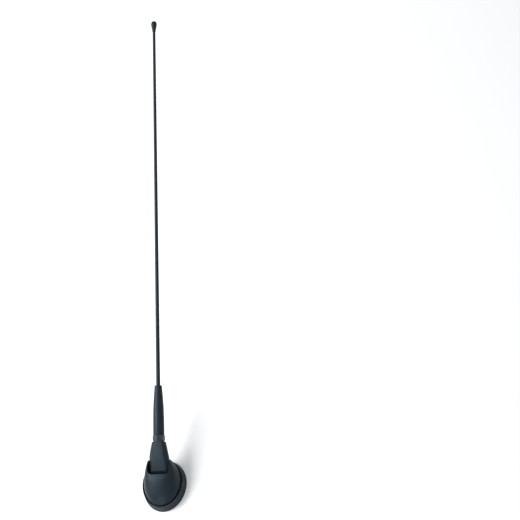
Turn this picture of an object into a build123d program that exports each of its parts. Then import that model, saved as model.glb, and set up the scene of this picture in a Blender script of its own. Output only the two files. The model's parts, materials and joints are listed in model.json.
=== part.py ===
# Roof-mounted car radio antenna: a tapered whip with a grip sleeve, screwed by a hexagon collar
# into a knuckle arm that tilts between the two cheeks of an egg-shaped dome on a rubber gasket.
# Frame: +Z up from the roof, the gasket's lip on z = 0, the fixing stud's axis on x = y = 0,
# and the mast leaning towards +X in the plane y = 0. Millimetres and degrees.
import math
import os

from build123d import *

# base outline, an egg whose widest line lies ahead of its middle
base_length = 60.0
base_width = 51.5
base_middle_x = 5.15
egg_shift = 1.5

# gasket
lip_width = 1.2
lip_height = 0.8
gasket_height = 10.0
gasket_flare = 2.8
flange_thickness = 2.0
flange_inset = 7.0
gasket_rounding = 0.7

# base plate and its round recess
plate_underside = 4.5
plate_inset = 4.6
rim_inset = 7.7
rim_thickness = 1.6
rim_height = 4.5
recess_radius = 16.1
recess_waist_radius = 15.3
recess_roof_radius = 14.4
recess_depth = 6.5
recess_wall = 2.0
cup_radius = 16.8
cup_waist_radius = 16.5
cup_top_radius = 15.9
boss_radius = 9.2
mark_x = 19.8
mark_spacing = 3.4
mark_hole_radius = 0.8
mark_hole_depth = 2.0
pip_radius = 0.9
pip_height = 0.4

# fixing stud and what centres it
stud_radius = 3.85
stud_below_lip = 1.3
stud_chamfer = 0.6
stud_flange_radius = 9.6
stud_flange_thickness = 1.6
stud_hex_flats = 12.0
stud_hex_height = 2.4
bush_bore_radius = 4.8
bush_radius = 6.4
bush_drop = 1.4
bush_slit = 1.2
ring_drop = 1.0
key_hole_circle = 7.8
key_hole_radius = 0.65
key_hole_depth = 1.8

# signal terminal, which also locates the base
terminal_x = 12.0
terminal_length = 6.4
terminal_width = 6.4
terminal_gap = 0.2
terminal_rise = 0.5
terminal_socket_radius = 2.1
terminal_socket_depth = 4.0
terminal_neck_radius = 2.2
terminal_neck_height = 0.2
contact_radius = 1.3
contact_recess = 0.5
strip_width = 4.0
strip_thickness = 0.6
strip_rear_x = 10.4
strip_tab = 3.0

# mast axis: the height where it crosses the stud's axis, and its rise
axis_height = 19.3
mast_angle = 18.0

# arm, by distances along the mast axis and heights across it
arm_end = 49.6
arm_end_radius = 8.05
arm_taper = 9.45
arm_edge = 0.8
facet_foot = 17.0
facet_foot_height = 2.2
facet_end_height = 6.3
facet_rounding = 0.8
knuckle_half_width = 10.6
knuckle_corner = 2.4
cone_start = 19.4
ear_radius = 6.6
lobe_angles = (40.0, 147.0)
insert_radius = 4.0
insert_length = 15.0
insert_recess = 0.2
insert_thread_depth = 12.4

# hinge
pivot_x = 22.0
pivot_z = 20.0
pin_radius = 2.25
pin_length = 20.0
pin_clearance = 0.05
pin_chamfer = 0.3
pivot_bush_wall = 0.8
tongue_thickness = 6.0
tongue_radius = 4.6
tongue_rear_x = 19.2
tongue_front_x = 25.6
washer_radius = 5.0
washer_thickness = 0.88
washer_clearance = 0.02
slot_clearance = 0.6
slot_reach = 12.0
foot_width = 15.0
foot_thickness = 1.5
insulator_thickness = 2.5
screw_x = 23.2
screw_spacing = 11.0
screw_radius = 1.1
screw_head_radius = 1.8
screw_head_height = 1.0
screw_depth = 2.2

# dome: its outline above the edge, as height, then how far the rear lies in, the widest line
# lies forward, and the front and the sides lie in from the base outline
dome_gap = 1.5
dome_inset = 3.75
dome_levels = (
    (20.0, 10.9, 3.0, -0.5, 6.9),
    (24.0, 17.8, 4.4, -1.9, 8.4),
    (34.0, 28.0, 7.0, -4.5, 12.0),
)
dome_wall = 2.4
dome_end = 28.7
crown_points = ((-26.0, 15.5), (-6.0, 23.6), (10.0, 26.0), (20.0, 28.7), (32.0, 33.8))
crown_rounding = 4.0
spigot_inset = 1.4
spigot_thickness = 1.8
spigot_overlap = 0.8
notch_gap = 1.3
notch_wall = 1.8
notch_start = 18.7
pocket_floor = 15.5

# mast, by distances along its axis
seal_clearance = 0.05
seal_thickness = 0.8
seal_radius = 6.3
seal_bore_radius = 2.7
collar_flats = 12.4
collar_length = 6.8
collar_chamfer = 0.9
shank_radius = 4.0
shank_length = 20.0
thread_radius = 2.45
thread_clearance = 0.05
thread_reach = 10.4
thread_root = 5.0
sleeve_length = 59.1
sleeve_radii = ((0.0, 6.4), (19.4, 6.2), (33.2, 5.87), (42.4, 5.29), (51.6, 4.49), (58.1, 4.12))
sleeve_mouth_chamfer = 0.6
whip_radius = 2.35
whip_tip_radius = 1.6
whip_length = 467.4
whip_socket = 14.0
coil_thickness = 1.0
coil_length = 26.0
coil_gap = 3.0
bead_radius = 3.25
bead_length = 12.6
bead_overlap = 8.0
bead_widest = 8.6
bead_root_radius = 1.95

# heights and distances that follow
widest_x = base_middle_x + egg_shift
front_x = base_middle_x + base_length / 2
rear_x = base_middle_x - base_length / 2
plate_top = gasket_height - flange_thickness
recess_roof = plate_underside + recess_depth
cup_top = recess_roof + recess_wall
foot_bottom = plate_top + insulator_thickness
foot_top = foot_bottom + foot_thickness
dome_bottom = gasket_height + dome_gap
seal_start = arm_end + seal_clearance
collar_start = seal_start + seal_thickness
sleeve_start = collar_start + collar_length
shank_end = sleeve_start + shank_length
whip_start = shank_end - whip_socket
whip_end = whip_start + whip_length
sleeve_end = sleeve_start + sleeve_length
bead_start = whip_end - bead_overlap
mast_tip = bead_start + bead_length
bead_bore_radius = whip_tip_radius + (whip_radius - whip_tip_radius) * bead_overlap / (whip_end - sleeve_end)
slot_half_width = tongue_thickness / 2 + washer_thickness + washer_clearance

# directions along the mast and across it, in the plane of symmetry
along = Vector(math.cos(math.radians(mast_angle)), 0, math.sin(math.radians(mast_angle)))
across = Vector(-math.sin(math.radians(mast_angle)), 0, math.cos(math.radians(mast_angle)))
axis_start = Vector(0, 0, axis_height)
pivot = Vector(pivot_x, 0, pivot_z)
mast_axis = Axis(axis_start, along)
# x across the mast, y along it: the half section that turned pieces are revolved from
mast_section = Plane(origin=axis_start, x_dir=across, z_dir=(0, 1, 0))
# x along the mast and y across it, from the mast's start and from the pivot
mast_side = Plane(origin=axis_start, x_dir=along, z_dir=(0, -1, 0))
knuckle_section = Plane(origin=pivot, x_dir=along, z_dir=(0, -1, 0))
far = 100.0


def on_mast(distance, height):
    """The row's x and z of a point beside the mast axis."""
    point = axis_start + along * distance + across * height
    return point.X, point.Z


drum_radius = math.dist(on_mast(facet_foot, facet_foot_height), (pivot_x, pivot_z))


def finish(builder, name):
    """Label a finished piece and write it."""
    builder.part.label = name
    export_step(builder.part, "parts/" + name + ".step")


def egg(z, rear, widest, front, half_width):
    """Two half ellipses that meet at the widest line, at height z."""
    with BuildSketch(Plane.XY.offset(z)) as outline:
        with BuildLine():
            EllipticalCenterArc((widest, 0), front - widest, half_width, -90, arc_size=180)
            EllipticalCenterArc((widest, 0), widest - rear, half_width, 90, arc_size=180)
        make_face()
    return outline.sketch


def base_egg(z, inset):
    return egg(z, rear_x + inset, widest_x, front_x - inset, base_width / 2 - inset)


def turned(points):
    """A solid of revolution about the mast, from its (radius, distance) outline."""
    with BuildPart() as piece:
        with BuildSketch(mast_section):
            with BuildLine():
                Polyline(*points, close=True)
            make_face()
        revolve(axis=mast_axis)
    return piece


def arm_cone(gap, start, end):
    """The arm's cone between its two flats, grown by a gap."""
    slope = math.tan(math.radians(arm_taper))
    start_radius = arm_end_radius + (arm_end - start) * slope + gap
    end_radius = arm_end_radius + (arm_end - end) * slope + gap
    cone = turned(((0, start), (start_radius, start), (end_radius, end), (0, end)))
    with BuildPart() as flattened:
        add(cone.part)
        with BuildSketch(Plane.XZ):
            Rectangle(2 * far, 2 * far)
        extrude(amount=knuckle_half_width + gap, both=True, mode=Mode.INTERSECT)
    return flattened.part


def drum(radius, gap):
    """The knuckle's drum about the pivot, with its corners rounded."""
    with BuildPart() as piece:
        with BuildSketch(knuckle_section):
            Circle(radius + gap)
        extrude(amount=knuckle_half_width + gap, both=True)
        fillet(piece.edges().filter_by(GeomType.CIRCLE), knuckle_corner)
    return piece.part


# gasket: a flared skirt, a lip to the roof, and a flange that the dome clamps to the plate
with BuildPart() as gasket:
    extrude(base_egg(0, 0), amount=lip_height)
    loft([base_egg(lip_height, 0), base_egg(gasket_height, gasket_flare)], ruled=True)
    fillet(gasket.faces().sort_by(Axis.Z)[-1].edges(), gasket_rounding)
    loft([base_egg(0, lip_width), base_egg(plate_underside, plate_inset)], ruled=True, mode=Mode.SUBTRACT)
    extrude(base_egg(plate_underside, plate_inset), amount=plate_top - plate_underside, mode=Mode.SUBTRACT)
    extrude(base_egg(plate_top, flange_inset), amount=flange_thickness, mode=Mode.SUBTRACT)
finish(gasket, "gasket")


def recess_outline():
    """Half section of the round recess, from its mouth to its roof."""
    with BuildSketch(Plane.XZ) as section:
        with BuildLine():
            ThreePointArc(
                (recess_radius, plate_underside),
                (recess_waist_radius, plate_underside + 0.57 * recess_depth),
                (recess_roof_radius, recess_roof),
            )
            Polyline(
                (recess_roof_radius, recess_roof),
                (0, recess_roof),
                (0, plate_underside),
                (recess_radius, plate_underside),
            )
        make_face()
    return section.sketch


# base plate: a flat casting with an upstanding rim and a round recess about the stud
hinge_bay_x = tongue_rear_x - 2.0
with BuildPart() as base_plate:
    extrude(base_egg(plate_underside, plate_inset), amount=plate_top - plate_underside)
    extrude(base_egg(plate_top, rim_inset), amount=rim_height)
    extrude(base_egg(plate_top, rim_inset + rim_thickness), amount=rim_height, mode=Mode.SUBTRACT)
    with BuildSketch(Plane.XY.offset(plate_top)):
        with Locations((hinge_bay_x, 0)):
            Rectangle(far, foot_width + 1.0, align=(Align.MIN, Align.CENTER))
    extrude(amount=rim_height, mode=Mode.SUBTRACT)
    with BuildSketch(Plane.XZ):
        with BuildLine():
            ThreePointArc((cup_radius, plate_top), (cup_waist_radius, recess_roof), (cup_top_radius, cup_top))
            Polyline((cup_top_radius, cup_top), (0, cup_top), (0, plate_top), (cup_radius, plate_top))
        make_face()
    revolve(axis=Axis.Z)
    revolve(recess_outline(), axis=Axis.Z, mode=Mode.SUBTRACT)
    with BuildSketch(Plane.XY.offset(recess_roof)):
        Circle(boss_radius)
        with Locations((terminal_x, 0)):
            Circle(terminal_neck_radius)
    extrude(amount=recess_wall, mode=Mode.SUBTRACT)
    with BuildSketch(Plane.XY.offset(plate_underside)):
        with Locations((mark_x, mark_spacing / 2)):
            Circle(mark_hole_radius)
    extrude(amount=mark_hole_depth, mode=Mode.SUBTRACT)
    with BuildSketch(Plane.XY.offset(plate_underside)):
        with Locations((mark_x, -mark_spacing / 2)):
            Circle(pip_radius)
    extrude(amount=-pip_height)
    with BuildSketch(Plane.XY.offset(plate_top)):
        with Locations((screw_x, -screw_spacing / 2), (screw_x, screw_spacing / 2)):
            Circle(screw_radius)
    extrude(amount=-screw_depth, mode=Mode.SUBTRACT)
finish(base_plate, "base_plate")

# fixing stud: a threaded shank under a flange and a hexagon that sit on the recess's roof
with BuildPart() as fixing_stud:
    with BuildSketch(Plane.XY.offset(-stud_below_lip)):
        Circle(stud_radius)
    extrude(amount=cup_top + stud_below_lip)
    chamfer(fixing_stud.edges().sort_by(Axis.Z)[0], stud_chamfer)
    with BuildSketch(Plane.XY.offset(cup_top)):
        Circle(stud_flange_radius)
    extrude(amount=stud_flange_thickness)
    with BuildSketch(Plane.XY.offset(cup_top + stud_flange_thickness)):
        RegularPolygon(stud_hex_flats / 2, 6, major_radius=False)
    extrude(amount=stud_hex_height)
finish(fixing_stud, "fixing_stud")

# slit insulating bush about the stud, and the ring with two key holes that holds it
with BuildPart() as stud_bush:
    with BuildSketch(Plane.XY.offset(recess_roof - bush_drop)):
        Circle(bush_radius)
        Circle(bush_bore_radius, mode=Mode.SUBTRACT)
        with Locations((-bush_radius, 0)):
            Rectangle(bush_radius, bush_slit, mode=Mode.SUBTRACT)
    extrude(amount=recess_wall + bush_drop)
finish(stud_bush, "stud_bush")

with BuildPart() as retaining_ring:
    with BuildSketch(Plane.XY.offset(recess_roof - ring_drop)):
        Circle(boss_radius)
        Circle(bush_radius, mode=Mode.SUBTRACT)
    extrude(amount=recess_wall + ring_drop)
    with BuildSketch(Plane.XY.offset(recess_roof - ring_drop)):
        with PolarLocations(key_hole_circle, 2, start_angle=90):
            Circle(key_hole_radius)
    extrude(amount=key_hole_depth, mode=Mode.SUBTRACT)
finish(retaining_ring, "retaining_ring")

# terminal block in the recess: a moulded key with a socket, and a neck through the roof
terminal_bottom = plate_underside + terminal_rise
neck_top = cup_top + terminal_neck_height
with BuildPart() as terminal_block:
    with BuildSketch(Plane.XY.offset(terminal_bottom)):
        with Locations((boss_radius + terminal_gap, 0)):
            Rectangle(terminal_length, terminal_width, align=(Align.MIN, Align.CENTER))
    extrude(amount=recess_roof - terminal_bottom)
    revolve(recess_outline(), axis=Axis.Z, mode=Mode.INTERSECT)
    with BuildSketch(Plane.XY.offset(recess_roof)):
        with Locations((terminal_x, 0)):
            Circle(terminal_neck_radius)
    extrude(amount=neck_top - recess_roof)
    with BuildSketch(Plane.XY.offset(terminal_bottom)):
        with Locations((terminal_x, 0)):
            Circle(terminal_socket_radius)
    extrude(amount=terminal_socket_depth, mode=Mode.SUBTRACT)
    with BuildSketch(Plane.XY.offset(terminal_bottom)):
        with Locations((terminal_x, 0)):
            Circle(contact_radius)
    extrude(amount=neck_top - terminal_bottom, mode=Mode.SUBTRACT)
finish(terminal_block, "terminal_block")

with BuildPart() as contact_pin:
    with BuildSketch(Plane.XY.offset(terminal_bottom + contact_recess)):
        with Locations((terminal_x, 0)):
            Circle(contact_radius)
    extrude(amount=neck_top - terminal_bottom - contact_recess)
    chamfer(contact_pin.edges().sort_by(Axis.Z)[0], pin_chamfer)
finish(contact_pin, "contact_pin")

# bent strip that joins the contact pin to the hinge bracket
with BuildPart() as signal_strip:
    with BuildSketch(Plane.XZ):
        with BuildLine():
            Polyline(
                (strip_rear_x, neck_top),
                (tongue_rear_x, neck_top),
                (tongue_rear_x, neck_top + strip_tab),
                (tongue_rear_x - strip_thickness, neck_top + strip_tab),
                (tongue_rear_x - strip_thickness, neck_top + strip_thickness),
                (strip_rear_x, neck_top + strip_thickness),
                close=True,
            )
        make_face()
    extrude(amount=strip_width / 2, both=True)
finish(signal_strip, "signal_strip")

# hinge bracket on its insulator: a foot plate and one tongue with an eye
foot_length = tongue_front_x - tongue_rear_x
foot_middle_x = (tongue_front_x + tongue_rear_x) / 2
screw_places = ((screw_x, -screw_spacing / 2), (screw_x, screw_spacing / 2))
with BuildPart() as bracket_insulator:
    with BuildSketch(Plane.XY.offset(plate_top)):
        with Locations((foot_middle_x, 0)):
            Rectangle(foot_length, foot_width)
        with Locations(*screw_places):
            Circle(screw_radius, mode=Mode.SUBTRACT)
    extrude(amount=insulator_thickness)
finish(bracket_insulator, "bracket_insulator")

with BuildPart() as hinge_bracket:
    with BuildSketch(Plane.XY.offset(foot_bottom)):
        with Locations((foot_middle_x, 0)):
            Rectangle(foot_length, foot_width)
        with Locations(*screw_places):
            Circle(screw_radius, mode=Mode.SUBTRACT)
    extrude(amount=foot_thickness)
    with BuildSketch(Plane.XZ):
        with Locations((pivot_x, pivot_z)):
            Circle(tongue_radius)
        with Locations((foot_middle_x, foot_bottom)):
            Rectangle(foot_length, pivot_z - foot_bottom, align=(Align.CENTER, Align.MIN))
    extrude(amount=tongue_thickness / 2, both=True)
    with BuildSketch(Plane.XZ):
        with Locations((pivot_x, pivot_z)):
            Circle(pin_radius + pin_clearance + pivot_bush_wall)
    extrude(amount=tongue_thickness, both=True, mode=Mode.SUBTRACT)
finish(hinge_bracket, "hinge_bracket")

with BuildPart() as bracket_screws:
    with BuildSketch(Plane.XY.offset(plate_top - screw_depth)):
        with Locations(*screw_places):
            Circle(screw_radius)
    extrude(amount=foot_top - plate_top + screw_depth)
    with BuildSketch(Plane.XY.offset(foot_top)):
        with Locations(*screw_places):
            Circle(screw_head_radius)
    extrude(amount=screw_head_height)
finish(bracket_screws, "bracket_screws")

with BuildPart() as pivot_bush:
    with BuildSketch(Plane.XZ):
        with Locations((pivot_x, pivot_z)):
            Circle(pin_radius + pin_clearance + pivot_bush_wall)
            Circle(pin_radius + pin_clearance, mode=Mode.SUBTRACT)
    extrude(amount=tongue_thickness / 2, both=True)
finish(pivot_bush, "pivot_bush")

# friction washers between the tongue and the arm's ears
for washer_name, washer_side in (("friction_washer_left", 1), ("friction_washer_right", -1)):
    with BuildPart() as friction_washer:
        with BuildSketch(Plane.XZ.offset(-washer_side * tongue_thickness / 2)):
            with Locations((pivot_x, pivot_z)):
                Circle(washer_radius)
                Circle(pin_radius + pin_clearance, mode=Mode.SUBTRACT)
        extrude(amount=-washer_side * washer_thickness)
    finish(friction_washer, washer_name)

with BuildPart() as pivot_pin:
    with BuildSketch(Plane.XZ):
        with Locations((pivot_x, pivot_z)):
            Circle(pin_radius)
    extrude(amount=pin_length / 2, both=True)
    chamfer(pivot_pin.edges().filter_by(GeomType.CIRCLE), pin_chamfer)
finish(pivot_pin, "pivot_pin")

# arm: a cone with a flat upper facet that ends in two round ears and a lobed heel
facet_rear = on_mast(facet_foot - far, facet_foot_height - far * (facet_end_height - facet_foot_height) / (arm_end - facet_foot))
facet_front = on_mast(arm_end + far, facet_end_height + far * (facet_end_height - facet_foot_height) / (arm_end - facet_foot))
with BuildPart() as arm:
    add(drum(drum_radius, 0))
    with BuildSketch(knuckle_section):
        with BuildLine():
            Polyline(
                (0, 0),
                (far * math.cos(math.radians(lobe_angles[0])), far * math.sin(math.radians(lobe_angles[0]))),
                (far, -far),
                (-far, -far),
                (far * math.cos(math.radians(lobe_angles[1])), far * math.sin(math.radians(lobe_angles[1]))),
                close=True,
            )
        make_face()
        Circle(ear_radius, mode=Mode.SUBTRACT)
    extrude(amount=far, both=True, mode=Mode.SUBTRACT)
    add(arm_cone(0, cone_start, arm_end))
    fillet(arm.faces().filter_by(GeomType.PLANE).sort_by(Axis.X)[-1].edges(), arm_edge)
    with BuildSketch(Plane.XZ):
        with BuildLine():
            Polyline(facet_rear, facet_front, (facet_front[0] - far, facet_front[1] + far), close=True)
        make_face()
    extrude(amount=far, both=True, mode=Mode.SUBTRACT)
    with BuildSketch(knuckle_section):
        with Locations((tongue_radius + slot_clearance, tongue_radius + slot_clearance)):
            Rectangle(slot_reach + tongue_radius, slot_reach + tongue_radius, align=(Align.MAX, Align.MAX))
    extrude(amount=slot_half_width, both=True, mode=Mode.SUBTRACT)
    with BuildSketch(Plane.XZ):
        with Locations((pivot_x, pivot_z)):
            Circle(pin_radius)
    extrude(amount=pin_length / 2, both=True, mode=Mode.SUBTRACT)
    add(turned(
        (
            (0, arm_end - insert_recess - insert_length),
            (insert_radius, arm_end - insert_recess - insert_length),
            (insert_radius, arm_end + arm_edge),
            (0, arm_end + arm_edge),
        )
    ).part, mode=Mode.SUBTRACT)
finish(arm, "arm")

insert_top = arm_end - insert_recess
insert_bore = thread_radius + thread_clearance
thread_insert = turned(
    (
        (0, insert_top - insert_length),
        (insert_radius, insert_top - insert_length),
        (insert_radius, insert_top),
        (insert_bore, insert_top),
        (insert_bore, insert_top - insert_thread_depth),
        (0, insert_top - insert_thread_depth),
    )
)
finish(thread_insert, "thread_insert")


def dome_form(inset):
    """The dome's outer form, or with an inset the hollow inside it."""
    levels = [base_egg(dome_bottom, dome_inset + inset)]
    for z, rear_in, forward, front_in, side_in in dome_levels:
        levels.append(
            egg(
                z,
                rear_x + rear_in + inset,
                widest_x + forward,
                front_x - front_in - inset,
                base_width / 2 - side_in - inset,
            )
        )
    with BuildPart() as form:
        loft(levels)
        with BuildSketch(Plane.XZ):
            with BuildLine():
                crown = Spline(*[(x, z - inset) for x, z in crown_points])
                Polyline(crown @ 1, (far, 0), (-far, 0), crown @ 0)
            make_face()
        extrude(amount=far, both=True, mode=Mode.INTERSECT)
        with BuildSketch(mast_section):
            with Locations((0, dome_end - inset)):
                Rectangle(2 * far, 2 * far, align=(Align.CENTER, Align.MAX))
        extrude(amount=far, both=True, mode=Mode.INTERSECT)
    return form.part


def notch_form(gap):
    """The room that the arm needs in the dome, open upwards and to the front."""
    start = notch_start + notch_gap - gap
    with BuildPart() as form:
        add(drum(drum_radius, gap))
        add(arm_cone(gap, start, dome_end + 2 * drum_radius))
        with BuildSketch(mast_side):
            with Locations((start, 0)):
                Rectangle(far, far, align=(Align.MIN, Align.MIN))
        extrude(amount=knuckle_half_width + gap, both=True)
    return form.part


# dome: a shell with a pocket for the knuckle, open through its crown and its front
with BuildPart() as dome:
    add(dome_form(0))
    crown_edges = dome.faces().sort_by(Axis.Z)[-1].edges()
    fillet(crown_edges, crown_rounding)
    add(dome_form(dome_wall), mode=Mode.SUBTRACT)
    with BuildPart(mode=Mode.PRIVATE) as pocket:
        add(dome_form(0.4))
        with BuildSketch(Plane.XY.offset(pocket_floor)):
            Rectangle(2 * far, 2 * far)
        extrude(amount=far, mode=Mode.INTERSECT)
        add(notch_form(notch_gap + notch_wall), mode=Mode.INTERSECT)
    add(pocket.part)
    extrude(base_egg(gasket_height, dome_inset + spigot_inset), amount=dome_gap + spigot_overlap)
    extrude(
        base_egg(gasket_height, dome_inset + spigot_inset + spigot_thickness),
        amount=dome_gap + spigot_overlap,
        mode=Mode.SUBTRACT,
    )
    add(notch_form(notch_gap), mode=Mode.SUBTRACT)
finish(dome, "dome")

seal_washer = turned(
    (
        (seal_bore_radius, seal_start),
        (seal_radius, seal_start),
        (seal_radius, collar_start),
        (seal_bore_radius, collar_start),
    )
)
finish(seal_washer, "seal_washer")

# hexagon collar with a shank that the sleeve is moulded on
with BuildPart() as hex_collar:
    with BuildSketch(Plane(origin=axis_start + along * collar_start, x_dir=across, z_dir=along)):
        RegularPolygon(collar_flats / 2, 6, major_radius=False)
    extrude(amount=collar_length)
    corner_radius = collar_flats / math.sqrt(3)
    drop = collar_chamfer * math.tan(math.radians(30))
    add(turned(
        (
            (0, collar_start),
            (corner_radius - collar_chamfer, collar_start),
            (corner_radius, collar_start + drop),
            (corner_radius, sleeve_start - drop),
            (corner_radius - collar_chamfer, sleeve_start),
            (0, sleeve_start),
        )
    ).part, mode=Mode.INTERSECT)
    add(turned(
        (
            (0, sleeve_start),
            (shank_radius, sleeve_start),
            (shank_radius, shank_end),
            (0, shank_end),
        )
    ).part)
    add(turned(
        (
            (0, whip_start),
            (whip_radius, whip_start),
            (whip_radius, shank_end),
            (0, shank_end),
        )
    ).part, mode=Mode.SUBTRACT)
    add(turned(
        (
            (0, collar_start),
            (thread_radius, collar_start),
            (thread_radius, collar_start + thread_root),
            (0, collar_start + thread_root),
        )
    ).part, mode=Mode.SUBTRACT)
finish(hex_collar, "hex_collar")

mast_thread = turned(
    (
        (0, collar_start - thread_reach),
        (thread_radius - pin_chamfer, collar_start - thread_reach),
        (thread_radius, collar_start - thread_reach + pin_chamfer),
        (thread_radius, collar_start + thread_root),
        (0, collar_start + thread_root),
    )
)
finish(mast_thread, "mast_thread")

whip = turned(
    (
        (0, whip_start),
        (whip_radius, whip_start),
        (whip_radius, sleeve_end),
        (whip_tip_radius, whip_end),
        (0, whip_end),
    )
)
finish(whip, "whip")

coil_start = shank_end + coil_gap
coil_end = coil_start + coil_length
coil_radius = whip_radius + coil_thickness
loading_coil = turned(
    (
        (whip_radius, coil_start),
        (coil_radius, coil_start),
        (coil_radius, coil_end),
        (whip_radius, coil_end),
    )
)
finish(loading_coil, "loading_coil")

# grip sleeve: bottle-shaped, moulded over the shank, the coil and the whip
with BuildPart() as grip_sleeve:
    with BuildSketch(mast_section):
        with BuildLine():
            flank = Spline(*[(radius, sleeve_start + distance) for distance, radius in sleeve_radii])
            Polyline(
                flank @ 1,
                (sleeve_radii[-1][1] - sleeve_mouth_chamfer, sleeve_end),
                (whip_radius, sleeve_end),
                (whip_radius, coil_end),
                (coil_radius, coil_end),
                (coil_radius, coil_start),
                (whip_radius, coil_start),
                (whip_radius, shank_end),
                (shank_radius, shank_end),
                (shank_radius, sleeve_start),
                flank @ 0,
            )
        make_face()
    revolve(axis=mast_axis)
finish(grip_sleeve, "grip_sleeve")

# tip bead: a drop moulded on the whip's end
with BuildPart() as tip_bead:
    with BuildSketch(mast_section):
        with BuildLine():
            drop_side = Spline(
                (bead_root_radius, bead_start),
                (bead_radius, bead_start + bead_widest),
                tangents=((0, 1), (0, 1)),
            )
            Spline(drop_side @ 1, (0, mast_tip), tangents=((0, 1), (-1, 0)))
            Polyline(
                (0, mast_tip),
                (0, whip_end),
                (whip_tip_radius, whip_end),
                (bead_bore_radius, bead_start),
                (bead_root_radius, bead_start),
            )
        make_face()
    revolve(axis=mast_axis)
finish(tip_bead, "tip_bead")
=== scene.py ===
"""Roof-mounted car radio antenna, dressed for a studio photograph.

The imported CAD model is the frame: +Z up from the roof, the gasket's lip on z = 0, the fixing stud's
axis on x = y = 0, and the mast leaning towards +X in the plane y = 0. The frame, the threads, the camera
and the lamps are in metres. The antenna's other sizes are written in millimetres and multiplied by MM.
"""
import json
import math

import bmesh
import bpy
from mathutils import Matrix, Vector


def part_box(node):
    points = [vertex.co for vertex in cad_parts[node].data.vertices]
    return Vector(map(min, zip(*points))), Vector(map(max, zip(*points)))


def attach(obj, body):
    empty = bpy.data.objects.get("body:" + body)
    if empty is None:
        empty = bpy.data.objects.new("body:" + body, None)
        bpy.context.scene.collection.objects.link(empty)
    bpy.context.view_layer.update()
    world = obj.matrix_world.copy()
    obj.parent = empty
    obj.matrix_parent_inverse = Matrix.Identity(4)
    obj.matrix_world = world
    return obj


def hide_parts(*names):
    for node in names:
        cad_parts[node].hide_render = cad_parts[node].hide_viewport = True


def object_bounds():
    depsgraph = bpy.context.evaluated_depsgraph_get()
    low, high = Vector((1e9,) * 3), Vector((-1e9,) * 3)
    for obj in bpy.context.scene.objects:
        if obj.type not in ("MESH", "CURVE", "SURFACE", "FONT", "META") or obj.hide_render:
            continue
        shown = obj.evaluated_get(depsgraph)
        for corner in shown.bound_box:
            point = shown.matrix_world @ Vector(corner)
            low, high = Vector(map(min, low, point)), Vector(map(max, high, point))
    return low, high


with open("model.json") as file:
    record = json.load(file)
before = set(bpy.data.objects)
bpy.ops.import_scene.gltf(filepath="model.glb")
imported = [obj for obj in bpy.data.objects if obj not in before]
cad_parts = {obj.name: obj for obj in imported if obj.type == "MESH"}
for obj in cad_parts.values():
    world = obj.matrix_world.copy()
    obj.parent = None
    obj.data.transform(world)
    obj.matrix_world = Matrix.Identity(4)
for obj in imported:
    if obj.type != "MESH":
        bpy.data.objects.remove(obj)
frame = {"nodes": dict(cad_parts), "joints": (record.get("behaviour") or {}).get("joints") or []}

CAD_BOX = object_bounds()
MM = 0.001

# The photograph: its width, and the places in it of the base's middle and of the mast's tip
PHOTO_PIXELS = 520
BASE_PIXEL = (165.2, 486.6)
TIP_PIXEL = (153.9, 21.2)

# Where the camera stands: its distance, and the direction to it from the base's middle
CAMERA_DISTANCE = 2.4
TOWARDS_CAMERA = Vector((-0.2922, -0.3255, 0.8992))
CAMERA_CLIP = (0.05, 50.0)
SENSOR_MM = 36.0

# The shortest and longest focal length that is tried, in pixels, and how closely it is found
FOCAL_RANGE = (100.0, 20000.0)
FOCAL_STEP = 0.01

# The soft boxes: the direction to each from the antenna's middle, as shares of the camera's right, up and
# backward axes, then its distance, its width and its power
SOFTBOXES = {
    "key_softbox": ((-1.0, 0.15, 0.62), 1.6, 1.0, 37.0),
    "low_softbox": ((-0.2, -1.0, 0.55), 1.8, 1.2, 9.0),
}

# The surroundings as a light: how bright and of which tint
AMBIENT_STRENGTH = 0.20
AMBIENT_TINT = (0.80, 0.90, 1.0)

# The floor: its radius, its middle along x, and the glow that the camera and reflections see
FLOOR_RADIUS = 6.0
FLOOR_MIDDLE = 0.2
FLOOR_GLOW = 0.34

# The base's egg in plan: its rear end, its widest line, its front end and half its width
EGG = (-24.85, 6.65, 35.15, 25.75)

# The height that the dome stands at, in the gasket's channel, and where its hollow starts
DOME_FOOT = 8.8
HOLLOW_FOOT = 7.0

# The dome's sides: height, then how far the rear lies in, the widest line lies forward, and the
# front and the sides lie in from the egg
DOME_SIDES = (
    (DOME_FOOT, 3.5, 0.0, 3.5, 3.5),
    (13.0, 5.0, 0.9, 2.3, 4.3),
    (20.0, 10.9, 3.0, -0.5, 6.7),
    (24.0, 17.0, 4.4, -1.9, 8.0),
    (29.0, 23.5, 5.7, -3.2, 9.5),
    (36.0, 30.0, 7.5, -5.0, 11.8),
)
# Its crown: places along x and heights in the middle, the radius that it falls away with sideways, how wide
# it blends into the sides, and what a height above it is worth as a distance from it
CROWN = (
    (-30.0, 14.0), (-18.0, 20.6), (-8.0, 24.9), (2.0, 27.4),
    (12.0, 30.0), (20.0, 34.0), (28.0, 36.0), (45.0, 35.0),
)
CROWN_RADIUS = 100.0
CROWN_BLEND = 8.0
CROWN_LEAN = 0.93
# Its front face, square to the mast: how far along the mast it lies, and how wide it blends in
DOME_END = 31.0
END_BLEND = 4.0
DOME_WALL = 2.4

# Its skin is drawn from this point outwards, as far as this at most, up to this angle and this closely
DOME_HEART = Vector((6.0, 0.0, DOME_FOOT))
SKIN_REACH = 60.0
SKIN_RISE = math.radians(89.0)
SKIN_STEP = 0.005

# The notch, by distances along the mast and beside it: its rear, half its width, its corners, how far its
# floor lies below the mast's line, the drum that the knuckle turns in, and the wall round all this
NOTCH_REAR = 13.1
NOTCH_SIDE = 12.8
NOTCH_CORNER = 4.6
NOTCH_DEPTH = 3.0
NOTCH_DRUM = 10.6
NOTCH_WALL = 1.8
POCKET_FLOOR = 15.5

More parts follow.
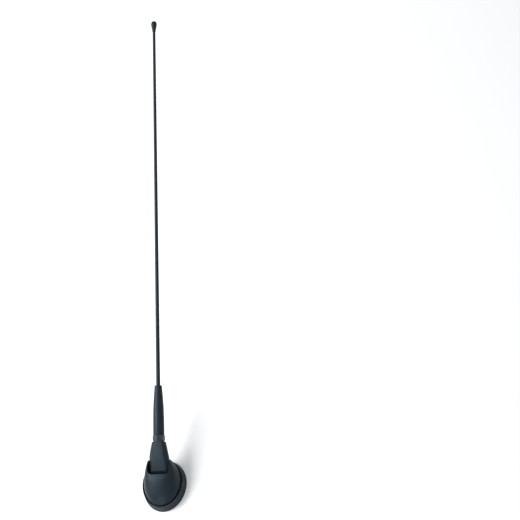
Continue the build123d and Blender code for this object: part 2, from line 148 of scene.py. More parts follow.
# The arm's cone: where it ends along the mast, its radius there and how fast it widens towards the hinge
ARM_END = 49.6
ARM_RADIUS = 8.05
ARM_SLOPE = math.tan(math.radians(9.45))
# Where the arm's hinge crosses the plane y = 0
PIVOT = Vector((22.0, 0.0, 20.0))

# The trough that leaves room for that cone: where it starts along the mast, and its gap round the cone
TROUGH_START = 17.4
TROUGH_GAP = 1.5

# How far the forms that cut the notch reach along the mast and up, well past the dome. Their ends and
# sides are set apart by a little, so that no two faces lie in one plane
PRISM_END = 70.0
PRISM_TOP = 45.0
TROUGH_END = 70.4
TROUGH_TOP = 45.5
DRUM_INSET = 0.04
TROUGH_INSET = 0.02
# The radius of the rings that close the drum, its number of sides, and the steps in each form's curves
DRUM_MIDDLE = 0.01
DRUM_SIDES = 96
DRUM_STEPS = 6
PRISM_STEPS = 12
TROUGH_STEPS = 32

# The gasket's section: how far in from the egg, and height
GASKET = (
    (1.2, 0.0), (0.15, 0.0), (0.0, 0.15), (0.0, 0.8), (0.12, 1.1), (1.3, 7.2), (1.72, 9.6),
    (1.86, 10.2), (2.02, 10.48), (2.25, 10.6), (2.5, 10.6), (2.65, 10.5), (2.7, 10.3),
    (2.7, DOME_FOOT), (7.0, DOME_FOOT), (7.0, 8.0), (4.65, 8.0), (4.65, 4.5),
)

# The arm's shoulders: each is a plane through these points, by distance along the mast, side and height
SHOULDER = ((48.6, 4.6, 6.2), (18.0, 7.8, 2.33), (18.0, 11.6, 0.3))
SHOULDER_BEVEL = 1.1
BEVEL_SEGMENTS = 4
# How near a point lies to the edge between a shoulder and the facet, to count as on it
EDGE_NEARNESS = 0.25

# The blocks that cut the shoulders: their reach along and across the plane, and how deep they are
WEDGE_ALONG = (-12.0, 60.0)
WEDGE_ACROSS = (-30.0, 40.0)
WEDGE_DEPTH = 30.0

# How much wider each cheek of the arm gets, and between which distances along the mast this fades
CHEEK = 0.8
CHEEK_FADE = (24.0, 48.0)
# How far out a flank starts to move, and over which width this grows
FLANK_START = 6.0
FLANK_RAMP = 2.0

# What makes a CAD node's facets whole again: how near points are merged, and how flat an edge is dissolved
MERGE = 0.002
FLAT = math.radians(0.6)

# The grip sleeve: distances from its lower end, and radii
SLEEVE = (
    (0.0, 1.0), (0.0, 6.0), (0.5, 6.35), (1.2, 6.42), (10.0, 6.34), (20.0, 6.24),
    (28.0, 6.08), (35.0, 5.78), (41.0, 5.38), (47.0, 4.88), (52.0, 4.48), (55.0, 4.30),
    (55.7, 4.12), (56.1, 3.75), (56.3, 3.3), (56.3, 1.0),
)
SLEEVE_SIDES = 64

# Screw threads: radius, depth and pitch
STUD_THREAD = (3.85 * MM, 0.62 * MM, 1.25 * MM)
MAST_THREAD = (2.45 * MM, 0.42 * MM, 0.8 * MM)
# A thread's section: how steep its flanks are, and how flat its root is
THREAD_FLANK = 1.35
THREAD_ROOT = 0.15

# The fixing stud: its flange's thickness, half its hexagon's width over flats, and its chamfer
STUD_FLANGE = 1.6 * MM
STUD_HEXAGON = 6.0 * MM
STUD_CHAMFER = 0.6 * MM

# The mast's threaded end: how far the thread stops short of the collar, its plain tip and its neck
THREAD_STOP = 1.2 * MM
THREAD_TIP = 0.3 * MM
THREAD_NECK = 0.4 * MM

# The angle between faces, in degrees, over which an edge looks sharp
SHARP = 32


def mast_frame():
    """Matrix that takes a point given about the mast's axis (z along it) to the row frame."""
    joint = next(j for j in frame["joints"] if j["name"] == "mast_turn")
    along = Vector(joint["axis"]).normalized()
    side = Vector((0, 1, 0))
    across = side.cross(along)
    turn = Matrix((across, side, along)).transposed().to_4x4()
    return Matrix.Translation(Vector(joint["pos_m"])) @ turn


MAST = mast_frame()
ALONG = MAST.to_3x3() @ Vector((0, 0, 1))

# The same axes from where the mast's line crosses the stud's axis, at this height; x points down
AXIS_HEIGHT = 19.3
AXIS = Matrix.Translation((0, 0, AXIS_HEIGHT * MM)) @ MAST.to_3x3().to_4x4()


def along_mast(node):
    """Lowest and highest place of a CAD node along the mast, counted from the arm's end."""
    back = MAST.inverted()
    places = [(back @ v.co).z for v in frame["nodes"][node].data.vertices]
    return min(places), max(places)


def clamp(value):
    """A number, kept between 0 and 1."""
    return max(0.0, min(1.0, value))


# Materials


class Nodes:
    """A material's node tree, with short calls for the nodes that the finishes share."""

    def __init__(self, name):
        self.material = bpy.data.materials.new(name)
        self.material.use_nodes = True
        self.tree = self.material.node_tree
        self.shader = self.tree.nodes["Principled BSDF"]
        self.place = self.add("ShaderNodeTexCoord").outputs["Object"]

    def add(self, kind, **values):
        node = self.tree.nodes.new(kind)
        for key, value in values.items():
            setattr(node, key, value)
        return node

    def link(self, output, socket):
        self.tree.links.new(output, socket)

    def noise(self, size, detail=3.0, roughness=0.55, stretch=None):
        """A noise whose patches are about size metres across."""
        node = self.add("ShaderNodeTexNoise")
        node.inputs["Scale"].default_value = 1.0 / size
        node.inputs["Detail"].default_value = detail
        node.inputs["Roughness"].default_value = roughness
        place = self.place
        if stretch:
            mapping = self.add("ShaderNodeMapping")
            mapping.inputs["Scale"].default_value = stretch
            self.link(place, mapping.inputs["Vector"])
            place = mapping.outputs["Vector"]
        self.link(place, node.inputs["Vector"])
        return node.outputs["Fac"]

    def spread(self, value, low, high, start=0.3, end=0.7):
        """value, from start to end, mapped to low to high."""
        node = self.add("ShaderNodeMapRange")
        node.inputs["From Min"].default_value = start
        node.inputs["From Max"].default_value = end
        node.inputs["To Min"].default_value = low
        node.inputs["To Max"].default_value = high
        self.link(value, node.inputs["Value"])
        return node.outputs["Result"]

    def mix(self, factor, first, second):
        """Colour between first and second, each a colour or an output."""
        node = self.add("ShaderNodeMix", data_type="RGBA")
        self.link(factor, node.inputs["Factor"])
        for socket, colour in ((node.inputs["A"], first), (node.inputs["B"], second)):
            if isinstance(colour, tuple):
                socket.default_value = (*colour, 1.0)
            else:
                self.link(colour, socket)
        return node.outputs["Result"]

    def bump(self, height, depth, strength, below=None):
        """A normal that a height bends by a depth in metres, on top of the normal below."""
        node = self.add("ShaderNodeBump")
        node.inputs["Distance"].default_value = depth
        node.inputs["Strength"].default_value = strength
        self.link(height, node.inputs["Height"])
        if below:
            self.link(below, node.inputs["Normal"])
        return node.outputs["Normal"]

    def finish(self, colour, roughness, normal, **constants):
        """The material, with these outputs on its shader and constants on its other sockets."""
        self.link(colour, self.shader.inputs["Base Color"])
        self.link(roughness, self.shader.inputs["Roughness"])
        self.link(normal, self.shader.inputs["Normal"])
        for socket, value in constants.items():
            self.shader.inputs[socket.replace("_", " ")].default_value = value
        return self.material


def moulded(name, dark, pale, roughness, grain=0.35 * MM, depth=0.012 * MM, **constants):
    """Moulded plastic or paint: a fine even grain, cloudy in tone and gloss."""
    n = Nodes(name)
    cloud = n.noise(14 * MM, 4.0)
    fine = n.noise(grain, 2.0, 0.6)
    tone = n.mix(n.spread(cloud, 0.0, 1.0), dark, pale)
    speck = n.mix(n.spread(fine, 0.0, 0.35, 0.55, 0.75), tone, pale)
    rough = n.spread(n.noise(5 * MM, 5.0, 0.65), roughness - 0.05, roughness + 0.06)
    normal = n.bump(fine, depth, 0.6)
    return n.finish(speck, rough, normal, **constants)


def rubber(name, dark, pale, roughness, grain=0.5 * MM, depth=0.03 * MM, **constants):
    """Moulded rubber: matt, with bloom in soft patches and tiny pale specks."""
    n = Nodes(name)
    bloom = n.noise(9 * MM, 6.0, 0.6)
    pores = n.noise(grain, 3.0, 0.7)
    tone = n.mix(n.spread(bloom, 0.0, 1.0, 0.35, 0.7), dark, pale)
    specks = n.mix(n.spread(n.noise(0.9 * MM, 1.0), 0.0, 0.5, 0.66, 0.74), tone, pale)
    rough = n.spread(bloom, roughness + 0.06, roughness - 0.06)
    normal = n.bump(pores, depth, 0.5, n.bump(bloom, 0.08 * MM, 0.25))
    return n.finish(specks, rough, normal, **constants)


def metal(name, dark, pale, roughness, stretch):
    """Turned or drawn metal: fine marks that run one way, tarnished in patches."""
    n = Nodes(name)
    marks = n.noise(1.2 * MM, 4.0, 0.7, stretch)
    stain = n.noise(4 * MM, 5.0, 0.6)
    tone = n.mix(n.spread(stain, 0.0, 1.0), dark, pale)
    rough = n.spread(marks, roughness - 0.08, roughness + 0.12)
    normal = n.bump(marks, 0.01 * MM, 0.4)
    return n.finish(tone, rough, normal, Metallic=1.0)


def finishes():
    """One material for each slot of the record, by name."""
    slate = ((0.007, 0.011, 0.015), (0.013, 0.019, 0.025))
    paint = ((0.011, 0.016, 0.021), (0.018, 0.025, 0.032))
    ink = ((0.008, 0.010, 0.012), (0.014, 0.017, 0.020))
    cool = ((0.019, 0.023, 0.029), (0.034, 0.040, 0.048))
    steel_blue = ((0.036, 0.044, 0.053), (0.050, 0.060, 0.071))
    sheen = {"Specular_IOR_Level": 0.22, "Specular_Tint": (0.66, 0.84, 1.0, 1.0)}
    zinc = ((0.52, 0.53, 0.55), (0.74, 0.75, 0.77))
    brass = ((0.55, 0.40, 0.17), (0.78, 0.61, 0.32))
    made = {
        "dome": moulded("slate_plastic", *slate, 0.42, **sheen),
        "arm": moulded("slate_paint", *paint, 0.40, grain=0.25 * MM, depth=0.008 * MM, **sheen),
        "hex_collar": moulded("collar_paint", *steel_blue, 0.36, **sheen),
        "base_plate": moulded("casting_paint", *ink, 0.50, grain=0.6 * MM, depth=0.03 * MM),
        "retaining_ring": moulded("ring_plastic", *ink, 0.42),
        "terminal_block": moulded("block_plastic", *ink, 0.48),
        "gasket": rubber("gasket_rubber", *cool, 0.62, **sheen),
        "seal_washer": rubber("seal_rubber", (0.012, 0.012, 0.013), (0.022, 0.022, 0.024), 0.7),
        "grip_sleeve": rubber("sleeve_rubber", *slate, 0.44, depth=0.015 * MM, **sheen),
        "whip": rubber("whip_coat", *slate, 0.46, depth=0.01 * MM, **sheen),
        "tip_bead": rubber("bead_rubber", *ink, 0.48, depth=0.01 * MM, **sheen),
        "stud_bush": moulded("natural_plastic", (0.50, 0.49, 0.46), (0.66, 0.65, 0.61), 0.45),
        "bracket_insulator": moulded("pale_plastic", (0.42, 0.41, 0.38), (0.56, 0.55, 0.51), 0.5),
        "fixing_stud": metal("zinc_plate", *zinc, 0.26, (1, 1, 9)),
        "hinge_bracket": metal("bracket_plate", *zinc, 0.34, (1, 7, 1)),
        "bracket_screws": metal("screw_plate", *zinc, 0.30, (1, 1, 6)),
        "pivot_pin": metal("pin_steel", (0.42, 0.43, 0.44), (0.60, 0.60, 0.61), 0.25, (1, 9, 1)),
        "mast_thread": metal("thread_steel", *zinc, 0.28, (1, 1, 1)),
        "contact_pin": metal("contact_brass", *brass, 0.24, (1, 1, 8)),
        "signal_strip": metal("strip_brass", *brass, 0.32, (8, 1, 1)),
        "pivot_bush": metal("bush_bronze", (0.42, 0.28, 0.13), (0.60, 0.43, 0.22), 0.34, (1, 8, 1)),
        "thread_insert": metal("insert_brass", *brass, 0.30, (1, 1, 1)),
        "loading_coil": metal("coil_copper", (0.45, 0.19, 0.08), (0.72, 0.36, 0.17), 0.30, (1, 1, 1)),
    }
    for side in ("left", "right"):
        made["friction_washer_" + side] = metal("washer_" + side, *zinc, 0.30, (1, 9, 1))
    return made


def smooth(piece, degrees=SHARP):
    """Rounds the shading of a piece, apart from edges sharper than an angle."""
    piece.data.shade_smooth()
    piece.data.set_sharp_from_angle(angle=math.radians(degrees))


def dress(finish):
    """Gives each CAD node its finish, and rounds the shading of its curved faces."""
    for name, node in frame["nodes"].items():
        node.data.materials.clear()
        node.data.materials.append(finish[name])
        smooth(node)


# Meshes


def new_piece(name, bm):
    """An object in the scene with the form of a bmesh, which this frees."""
    bmesh.ops.recalc_face_normals(bm, faces=bm.faces)
    mesh = bpy.data.meshes.new(name)
    bm.to_mesh(mesh)
    bm.free()
    piece = bpy.data.objects.new(name, mesh)
    bpy.context.scene.collection.objects.link(piece)
    return piece


def skin(name, rings, place=Matrix.Identity(4), closed=False):
    """A mesh over rings of points: both ends are filled, or the last ring is joined to the first."""
    bm = bmesh.new()
    rows = [[bm.verts.new(place @ Vector(p)) for p in ring] for ring in rings]
    following = rows[1:] + rows[:1] if closed else rows[1:]
    for low, high in zip(rows, following):
        for k in range(len(low)):
            after = (k + 1) % len(low)
            bm.faces.new((low[k], low[after], high[after], high[k]))
    if not closed:
        bm.faces.new(reversed(rows[0]))
        bm.faces.new(rows[-1])
    piece = new_piece(name, bm)
    smooth(piece)
    return piece


def round_ring(radius, z, sides=40):
    """A circle about the z axis, as points."""
    angles = [2 * math.pi * k / sides for k in range(sides)]
    return [(radius * math.cos(a), radius * math.sin(a), z) for a in angles]


def hexagon_ring(flat_radius, z, sides=40):
    """A hexagon with as many points as a round ring, so that the two can be joined."""
    ring = []
    for k in range(sides):
        angle = 2 * math.pi * k / sides
        to_face = (angle + math.pi / 6) % (math.pi / 3) - math.pi / 6
        radius = flat_radius / math.cos(to_face)
        ring.append((radius * math.cos(angle), radius * math.sin(angle), z))
    return ring


def egg_ring(inset, z, around=144):
    """The base's egg drawn in by an inset, as a ring of points at a height."""
    rear, widest, front, half = EGG
    ring = []
    for k in range(around):
        turn = 2 * math.pi * k / around
        reach = front - widest if math.cos(turn) > 0 else widest - rear
        x = widest + (reach - inset) * math.cos(turn)
        ring.append((x * MM, (half - inset) * math.sin(turn) * MM, z * MM))
    return ring


def cut_below(piece, height):
    """Takes off what lies below a height, in millimetres, and closes the cut."""
    bm = bmesh.new()
    bm.from_mesh(piece.data)
    everything = list(bm.verts) + list(bm.edges) + list(bm.faces)
    cut = bmesh.ops.bisect_plane(
        bm, geom=everything, plane_co=(0, 0, height * MM), plane_no=(0, 0, -1), clear_outer=True
    )
    edges = [e for e in cut["geom_cut"] if isinstance(e, bmesh.types.BMEdge)]
    bmesh.ops.edgeloop_fill(bm, edges=edges)
    bmesh.ops.recalc_face_normals(bm, faces=bm.faces)
    bm.to_mesh(piece.data)
    bm.free()


def carve(piece, tools):
    """Takes each tool's form out of a piece, at a scale of millimetres, and removes the tools."""
    for part in (piece, *tools):
        part.data.transform(Matrix.Scale(1 / MM, 4))
    for tool in tools:
        step = piece.modifiers.new("carve", "BOOLEAN")
        step.operation = "DIFFERENCE"
        step.solver = "MANIFOLD"
        step.object = tool
        shape = bpy.data.meshes.new_from_object(
            piece.evaluated_get(bpy.context.evaluated_depsgraph_get()), preserve_all_data_layers=False
        )
        piece.modifiers.clear()
        piece.data = shape
    piece.data.transform(Matrix.Scale(MM, 4))
    for tool in tools:
        bpy.data.objects.remove(tool)


# The dome and its gasket


def between(table, key):
    """The row of a table at a key between its rows, on a smooth curve through them."""
    last = len(table) - 1
    i = max(0, min(last - 1, sum(row[0] <= key for row in table) - 1))
    low, high = table[i], table[i + 1]
    before, after = table[max(0, i - 1)], table[min(last, i + 2)]
    span = high[0] - low[0]
    t = clamp((key - low[0]) / span)
    row = []
    for a, b, c, d in zip(before[1:], low[1:], high[1:], after[1:]):
        rise_low = (c - a) / (high[0] - before[0]) * span
        rise_high = (d - b) / (after[0] - low[0]) * span
        row.append(
            b * (2 * t ** 3 - 3 * t ** 2 + 1)
            + rise_low * (t ** 3 - 2 * t ** 2 + t)
            + c * (3 * t ** 2 - 2 * t ** 3)
            + rise_high * (t ** 3 - t ** 2)
        )
    return row


def blend_max(a, b, width):
    """The larger of two numbers, raised smoothly where they are nearer to each other than a width."""
    return max(a, b) + max(0.0, width - abs(a - b)) ** 2 / (4 * width)


def outside_dome(point):
    """About how far a point lies outside the dome's outer face, in millimetres."""
    x, y, z = point
    rear_in, forward, front_in, side_in = between(DOME_SIDES, z)
    rear, widest, front, half = EGG
    rear, widest, front, half = rear + rear_in, widest + forward, front - front_in, half - side_in
    reach = front - widest if x > widest else widest - rear
    r = math.hypot((x - widest) / reach, y / half)
    slope = math.hypot((x - widest) / reach ** 2, y / half ** 2)
    # In the very middle the slope vanishes, and the sides are about half a width away
    side = r * (r - 1) / slope if r > 0.05 else -half
    crown = (z - between(CROWN, x)[0] + y * y / (2 * CROWN_RADIUS)) * CROWN_LEAN
    end = ALONG.x * x + ALONG.z * (z - AXIS_HEIGHT) - DOME_END
    return blend_max(blend_max(side, crown, CROWN_BLEND), end, END_BLEND)


def dome_skin(name, depth, foot, around=144, up=44):
    """The closed form that lies depth inside the dome's outer face and stands on a foot height."""
    rings = []
    for i in range(up):
        rise = SKIN_RISE * i / (up - 1)
        ring = []
        for k in range(around):
            turn = 2 * math.pi * k / around
            way = Vector((math.cos(turn) * math.cos(rise), math.sin(turn) * math.cos(rise), math.sin(rise)))
            near, far = 0.0, SKIN_REACH
            while far - near > SKIN_STEP:
                middle = (near + far) / 2
                if outside_dome(DOME_HEART + way * middle) + depth < 0:
                    near = middle
                else:
                    far = middle
            ring.append(tuple((DOME_HEART + way * near) * MM))
        rings.append(ring)
    rings.insert(0, [(x, y, foot * MM) for x, y, _ in rings[0]])
    return skin(name, rings)


def knuckle_place():
    """Matrix that takes z along the hinge, and x along the mast, to the row frame."""
    across = MAST.to_3x3() @ Vector((1, 0, 0))
    turn = Matrix((ALONG, across, Vector((0, 1, 0)))).transposed().to_4x4()
    return Matrix.Translation(PIVOT * MM) @ turn


def notch_drum(name, gap):
    """The room that the knuckle turns in: a drum along the hinge, rounded where its ends begin."""
    radius, side, corner = NOTCH_DRUM + gap, NOTCH_SIDE + gap - DRUM_INSET, NOTCH_CORNER + gap
    rings = [round_ring(DRUM_MIDDLE * MM, -side * MM, DRUM_SIDES)]
    for sign in (-1, 1):
        steps = range(DRUM_STEPS + 1) if sign < 0 else range(DRUM_STEPS, -1, -1)
        for i in steps:
            angle = math.pi / 2 * i / DRUM_STEPS
            ring_radius = radius - corner * (1 - math.sin(angle))
            place = sign * (side - corner * (1 - math.cos(angle)))
            rings.append(round_ring(ring_radius * MM, place * MM, DRUM_SIDES))
    rings.append(round_ring(DRUM_MIDDLE * MM, side * MM, DRUM_SIDES))
    return skin(name, rings, knuckle_place())


def notch_prism(name, gap):
    """The U of the notch as the camera sees it, straight walled and open to the front and the top."""
    side, rear, corner = NOTCH_SIDE + gap, NOTCH_REAR - gap, NOTCH_CORNER + gap
    plan = [(PRISM_END, side), (rear + corner, side)]
    for i in range(1, PRISM_STEPS):
        angle = math.pi / 2 * i / PRISM_STEPS
        plan.append((rear + corner * (1 - math.sin(angle)), side - corner * (1 - math.cos(angle))))
    plan.append((rear, side - corner))
    plan += [(d, -y) for d, y in reversed(plan)]
    rings = [[(-h * MM, y * MM, d * MM) for d, y in plan] for h in (-NOTCH_DEPTH - gap, PRISM_TOP)]
    return skin(name, rings, AXIS)


def notch_trough(name, gap):
    """Room for the arm's cone: round below, straight walled above."""
    side = NOTCH_SIDE + gap - TROUGH_INSET
    rings = []
    for d in (TROUGH_START - gap, TROUGH_END):
        radius = ARM_RADIUS + (ARM_END - d) * ARM_SLOPE + TROUGH_GAP + gap
        ring = [(-TROUGH_TOP * MM, -side * MM, d * MM)]
        for k in range(TROUGH_STEPS + 1):
            angle = math.pi * k / TROUGH_STEPS
            y = max(-side, min(side, -radius * math.cos(angle)))
            ring.append((radius * math.sin(angle) * MM, y * MM, d * MM))
        ring.append((-TROUGH_TOP * MM, side * MM, d * MM))
        rings.append(ring)
    return skin(name, rings, AXIS)


def notch_forms(gap):
    """The three forms that together make the notch and its pocket, each grown by a gap."""
    return [notch_drum("drum", gap), notch_prism("prism", gap), notch_trough("trough", gap)]


def moulded_dome(finish):
    """The dome: a smooth crowned shell with a U-shaped notch and a pocket for the knuckle."""
    dome = dome_skin("moulded_dome", 0.0, DOME_FOOT)
    hollow = dome_skin("hollow", DOME_WALL, HOLLOW_FOOT, around=96, up=30)
    pocket = notch_forms(NOTCH_WALL)
    for wall in pocket:
        cut_below(wall, POCKET_FLOOR)
    carve(hollow, pocket)
    carve(dome, [hollow])
    carve(dome, notch_forms(0.0))
    smooth(dome, degrees=38)
    dome.data.materials.clear()
    dome.data.materials.append(finish["dome"])
    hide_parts("dome")
    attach(dome, "base")


def skirt_gasket(finish):
    """The gasket: a flared skirt, a round upper edge and a channel that the dome stands in."""
    gasket = skin("skirt_gasket", [egg_ring(inset, z) for inset, z in GASKET], closed=True)
    smooth(gasket, degrees=40)
    gasket.data.materials.append(finish["gasket"])
    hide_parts("gasket")
    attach(gasket, "base")


# The arm and its sleeve


def shoulder_wedge(name, sign):
    """A block on the outer side of one shoulder of the arm, long enough to cut its whole length."""
    high, low, side = (Vector((-h, sign * y, d)) for d, y, h in SHOULDER)
    run = (high - low).normalized()
    drop = side - low
    drop = (drop - run * drop.dot(run)).normalized()
    out = run.cross(drop).normalized()
    if out.y * sign < 0:
        out = -out
    start, end = WEDGE_ALONG
    upper, lower = WEDGE_ACROSS
    rings = []
    for depth in (0.0, WEDGE_DEPTH):
        corners = []
        for a, b in ((start, upper), (end, upper), (end, lower), (start, lower)):
            corners.append(tuple((low + run * a + drop * b + out * depth) * MM))
        rings.append(corners)
    return skin(name, rings, AXIS)


def copy_of(node, name):
    """A new piece with a CAD node's form, its flat faces made whole."""
    bm = bmesh.new()
    bm.from_mesh(frame["nodes"][node].data)
    bmesh.ops.remove_doubles(bm, verts=bm.verts, dist=MERGE * MM)
    bmesh.ops.dissolve_limit(bm, angle_limit=FLAT, verts=bm.verts, edges=bm.edges)
    return new_piece(name, bm)


def widen_cheeks(piece):
    """Sets the arm's outer flanks further out towards the hinge, and leaves its bores alone."""
    back = AXIS.inverted()
    start, end = CHEEK_FADE
    for vert in piece.data.vertices:
        place = back @ vert.co / MM
        fade = clamp((end - place.z) / (end - start))
        outer = clamp((abs(place.y) - FLANK_START) / FLANK_RAMP)
        vert.co.y += math.copysign(CHEEK * MM * fade * outer, place.y)


def on_shoulder_edge(place):
    """Whether a point about the mast's line lies on an edge between the facet and a shoulder."""
    (high_d, high_y, high_h), (low_d, low_y, low_h) = SHOULDER[:2]
    t = (place.z - low_d) / (high_d - low_d)
    y = low_y + (high_y - low_y) * t
    h = low_h + (high_h - low_h) * t
    return math.hypot(abs(place.y) - y, -place.x - h) < EDGE_NEARNESS


def round_shoulders(piece):
    """Bevels the two edges between the arm's upper facet and its shoulders."""
    back = AXIS.inverted()
    bm = bmesh.new()
    bm.from_mesh(piece.data)
    bmesh.ops.dissolve_limit(bm, angle_limit=FLAT, verts=bm.verts, edges=bm.edges)
    edges = [e for e in bm.edges if all(on_shoulder_edge(back @ v.co / MM) for v in e.verts)]
    bmesh.ops.bevel(
        bm, geom=edges, offset=SHOULDER_BEVEL * MM, segments=BEVEL_SEGMENTS, profile=0.5, affect="EDGES",
        clamp_overlap=True, loop_slide=False,
    )
    bm.to_mesh(piece.data)
    bm.free()


def shaped_arm(finish):
    """The arm with a shoulder along each side of its upper facet."""
    arm = copy_of("arm", "shaped_arm")
    widen_cheeks(arm)
    carve(arm, [shoulder_wedge("wedge_left", 1), shoulder_wedge("wedge_right", -1)])
    round_shoulders(arm)
    smooth(arm)
    arm.data.materials.clear()
    arm.data.materials.append(finish["arm"])
    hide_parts("arm")
    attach(arm, "arm")


def tapered_sleeve(finish):
    """The grip sleeve, drawn in to a small round shoulder at the whip."""
    start = along_mast("grip_sleeve")[0]
    rings = [round_ring(radius * MM, start + distance * MM, SLEEVE_SIDES) for distance, radius in SLEEVE]
    sleeve = skin("tapered_sleeve", rings, MAST)
    smooth(sleeve, degrees=50)
    sleeve.data.materials.append(finish["grip_sleeve"])
    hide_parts("grip_sleeve")
    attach(sleeve, "mast")


# Threaded pieces


def thread_grid(radius, depth, pitch, start, end, sides=40, steps=12):
    """Rings of points (x, y, z) of a screw thread about the z axis, tapered over a pitch at each end."""
    count = max(2, round((end - start) / pitch * steps))
    rings = []
    for i in range(count + 1):
        z = start + (end - start) * i / count
        fade = clamp(min((z - start) / pitch, (end - z) / pitch))
        ring = []
        for k in range(sides):
            phase = (z / pitch - k / sides) % 1.0
            ridge = clamp(abs(2.0 * phase - 1.0) * THREAD_FLANK - THREAD_ROOT)
            ring_radius = radius - depth * (1.0 - ridge * fade)
            angle = 2 * math.pi * k / sides
            ring.append((ring_radius * math.cos(angle), ring_radius * math.sin(angle), z))
        rings.append(ring)
    return rings


def threaded_stud(finish):
    """The fixing stud with its thread, flange and hexagon."""
    radius, depth, pitch = STUD_THREAD
    low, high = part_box("fixing_stud")
    flange_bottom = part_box("retaining_ring")[1].z
    flange_top = flange_bottom + STUD_FLANGE
    thread_start = low.z + STUD_CHAMFER
    rings = [round_ring(radius - depth - STUD_CHAMFER / 2, low.z), round_ring(radius - depth, thread_start)]
    rings += thread_grid(radius, depth, pitch, thread_start, flange_bottom - pitch)
    rings.append(round_ring(radius, flange_bottom - pitch / 2))
    rings.append(round_ring(radius, flange_bottom))
    rings.append(round_ring(high.x, flange_bottom))
    rings.append(round_ring(high.x, flange_top))
    rings.append(hexagon_ring(STUD_HEXAGON, flange_top))
    rings.append(hexagon_ring(STUD_HEXAGON, high.z))
    stud = skin("threaded_fixing_stud", rings)
    stud.data.materials.append(finish["fixing_stud"])
    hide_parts("fixing_stud")
    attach(stud, "base")


def threaded_mast_end(finish):
    """The mast's threaded end, which shows as the mast is unscrewed."""
    radius, depth, pitch = MAST_THREAD
    start, end = along_mast("mast_thread")
    stop = along_mast("hex_collar")[0] - THREAD_STOP
    rings = [round_ring(radius - depth, start)]
    rings += thread_grid(radius, depth, pitch, start + THREAD_TIP, stop)
    rings.append(round_ring(radius, stop + THREAD_NECK))
    rings.append(round_ring(radius, end))
    thread = skin("threaded_mast_end", rings, MAST)
    thread.data.materials.append(finish["mast_thread"])
    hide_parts("mast_thread")
    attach(thread, "mast")


# Studio


def seen_rays(tree):
    """1 for rays from the camera and for rays that a surface mirrors or lets through, otherwise 0."""
    path = tree.nodes.new("ShaderNodeLightPath")
    seen = path.outputs["Is Camera Ray"]
    for kind in ("Is Glossy Ray", "Is Transmission Ray"):
        either = tree.nodes.new("ShaderNodeMath")
        either.operation = "MAXIMUM"
        tree.links.new(seen, either.inputs[0])
        tree.links.new(path.outputs[kind], either.inputs[1])
        seen = either.outputs["Value"]
    return seen


def floor():
    """A pale floor at the lowest point of the antenna, white to the camera outside the shadow."""
    bpy.ops.mesh.primitive_circle_add(
        vertices=96, radius=FLOOR_RADIUS, fill_type="NGON", location=(FLOOR_MIDDLE, 0, CAD_BOX[0].z)
    )
    ground = bpy.context.object
    ground.name = "studio_floor"
    n = Nodes("floor_white")
    tone = n.mix(n.spread(n.noise(0.4, 2.0), 0.0, 1.0), (0.80, 0.80, 0.80), (0.82, 0.82, 0.82))
    n.link(tone, n.shader.inputs["Base Color"])
    n.shader.inputs["Roughness"].default_value = 0.9
    n.shader.inputs["Specular IOR Level"].default_value = 0.1
    n.shader.inputs["Emission Color"].default_value = (1, 1, 1, 1)
    n.link(n.spread(seen_rays(n.tree), 0.0, FLOOR_GLOW, 0.0, 1.0), n.shader.inputs["Emission Strength"])
    ground.data.materials.append(n.material)


def white_surroundings():
    """A white world to the camera and in reflections, dimmer and a little blue as a light."""
    world = bpy.data.worlds.new("surroundings")
    bpy.context.scene.world = world
    world.use_nodes = True
    tree = world.node_tree
    back = tree.nodes["Background"]
    seen = seen_rays(tree)
    tone = tree.nodes.new("ShaderNodeMix")
    tone.data_type = "RGBA"
    tone.inputs["A"].default_value = (*AMBIENT_TINT, 1.0)
    tone.inputs["B"].default_value = (1.0, 1.0, 1.0, 1.0)
    tree.links.new(seen, tone.inputs["Factor"])
    tree.links.new(tone.outputs["Result"], back.inputs["Color"])
    level = tree.nodes.new("ShaderNodeMapRange")
    level.inputs["To Min"].default_value = AMBIENT_STRENGTH
    level.inputs["To Max"].default_value = 1.0
    tree.links.new(seen, level.inputs["Value"])
    tree.links.new(level.outputs["Result"], back.inputs["Strength"])


def lamp(name, towards, distance, size, power, target):
    """A square soft box that stands towards a direction from its target and faces it."""
    light = bpy.data.lights.new(name, "AREA")
    light.size = size
    light.energy = power
    holder = bpy.data.objects.new(name, light)
    bpy.context.scene.collection.objects.link(holder)
    holder.location = target + towards.normalized() * distance
    holder.rotation_euler = (-towards).to_track_quat("-Z", "Y").to_euler()


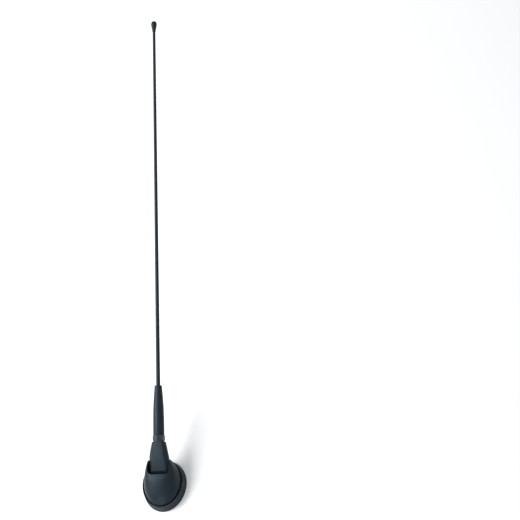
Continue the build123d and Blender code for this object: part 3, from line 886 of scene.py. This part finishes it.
def pixel_ray(pixel, focal):
    """Direction in camera space through a pixel of the photograph."""
    middle = PHOTO_PIXELS / 2
    return Vector((pixel[0] - middle, middle - pixel[1], -focal)).normalized()


def triad(first, second):
    """Axes that two directions set: between them, across them, and square to both."""
    halfway = (first + second).normalized()
    apart = (first - second).normalized()
    return Matrix((halfway, apart, halfway.cross(apart))).transposed()


def camera(base, tip):
    """Adds the camera that sees the base's middle and the tip at their pixels, and returns its axes."""
    place = base + TOWARDS_CAMERA.normalized() * CAMERA_DISTANCE
    to_base = (base - place).normalized()
    to_tip = (tip - place).normalized()
    wanted = to_base.angle(to_tip)
    short, long = FOCAL_RANGE
    while long - short > FOCAL_STEP:
        focal = (short + long) / 2
        if pixel_ray(BASE_PIXEL, focal).angle(pixel_ray(TIP_PIXEL, focal)) > wanted:
            short = focal
        else:
            long = focal
    rays = triad(pixel_ray(BASE_PIXEL, focal), pixel_ray(TIP_PIXEL, focal))
    turn = triad(to_base, to_tip) @ rays.transposed()
    data = bpy.data.cameras.new("photo_camera")
    data.sensor_width = SENSOR_MM
    data.lens = focal * SENSOR_MM / PHOTO_PIXELS
    data.clip_start, data.clip_end = CAMERA_CLIP
    holder = bpy.data.objects.new("photo_camera", data)
    bpy.context.scene.collection.objects.link(holder)
    holder.matrix_world = Matrix.Translation(place) @ turn.to_4x4()
    bpy.context.scene.camera = holder
    return turn


def studio():
    """The camera, the surroundings, the floor and the lamps."""
    low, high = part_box("gasket")
    base = Vector(((low.x + high.x) / 2, 0, low.z))
    tip = MAST @ Vector((0, 0, along_mast("tip_bead")[1]))
    turn = camera(base, tip)
    right, up, back = (Vector(turn.col[i]) for i in range(3))
    white_surroundings()
    floor()
    for name, (share, distance, size, power) in SOFTBOXES.items():
        towards = back * share[2] + right * share[0] + up * share[1]
        lamp(name, towards, distance, size, power, (base + tip) / 2)


bpy.context.scene.view_settings.view_transform = "Standard"
FINISH = finishes()
dress(FINISH)
threaded_stud(FINISH)
threaded_mast_end(FINISH)
moulded_dome(FINISH)
skirt_gasket(FINISH)
shaped_arm(FINISH)
tapered_sleeve(FINISH)
studio()
